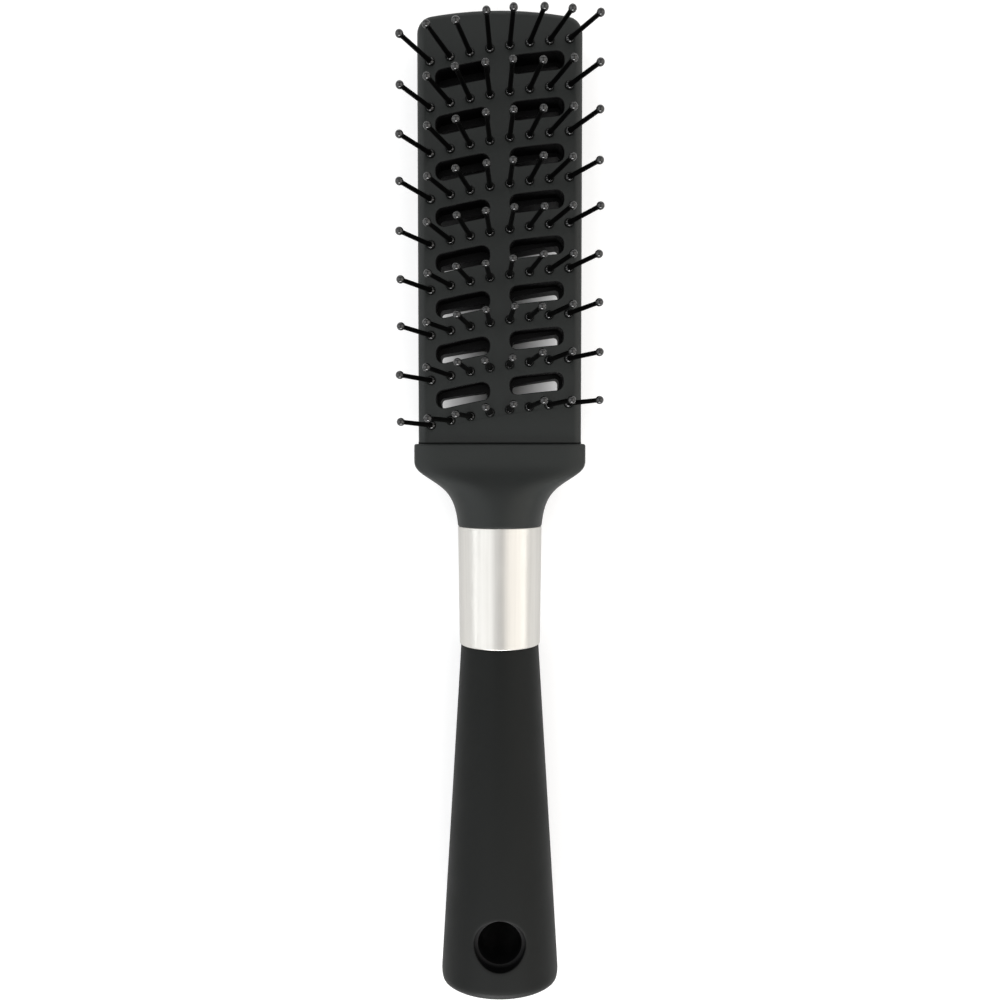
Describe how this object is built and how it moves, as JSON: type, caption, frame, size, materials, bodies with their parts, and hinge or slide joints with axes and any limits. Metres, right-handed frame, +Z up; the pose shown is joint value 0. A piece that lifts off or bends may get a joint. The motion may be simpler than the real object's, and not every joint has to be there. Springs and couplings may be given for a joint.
{
  "type": "vent brush",
  "caption": "Vent hair brush with a flat slotted head, fanned rows of ball-tipped pins, a metal sleeve and a straight handle with a hole to hang it by.",
  "frame": {"origin": "under the middle of the brush's box, on the surface that the end of the handle touches", "axes": "+X across the head, +Y from the handle to the head, +Z up, the way the pins point"},
  "size_m": [0.0454, 0.2356, 0.0341],
  "materials": {
    "soft_black": "soft-touch matte",
    "gloss_black": "gloss",
    "silver": "satin",
    "rod": "as moulded"
  },
  "bodies": {
    "root": {"head_front": "soft_black", "head_back": "soft_black", "collar": "soft_black", "sleeve": "silver", "grip": "soft_black", "core_rod": "rod", "pin_strip_1": "gloss_black", "pin_strip_2": "gloss_black", "pin_strip_3": "gloss_black", "pin_strip_4": "gloss_black", "pin_strip_5": "gloss_black", "pin_strip_6": "gloss_black", "pin_strip_7": "gloss_black", "pin_strip_8": "gloss_black", "pin_strip_9": "gloss_black"}
  },
  "joints": []
}
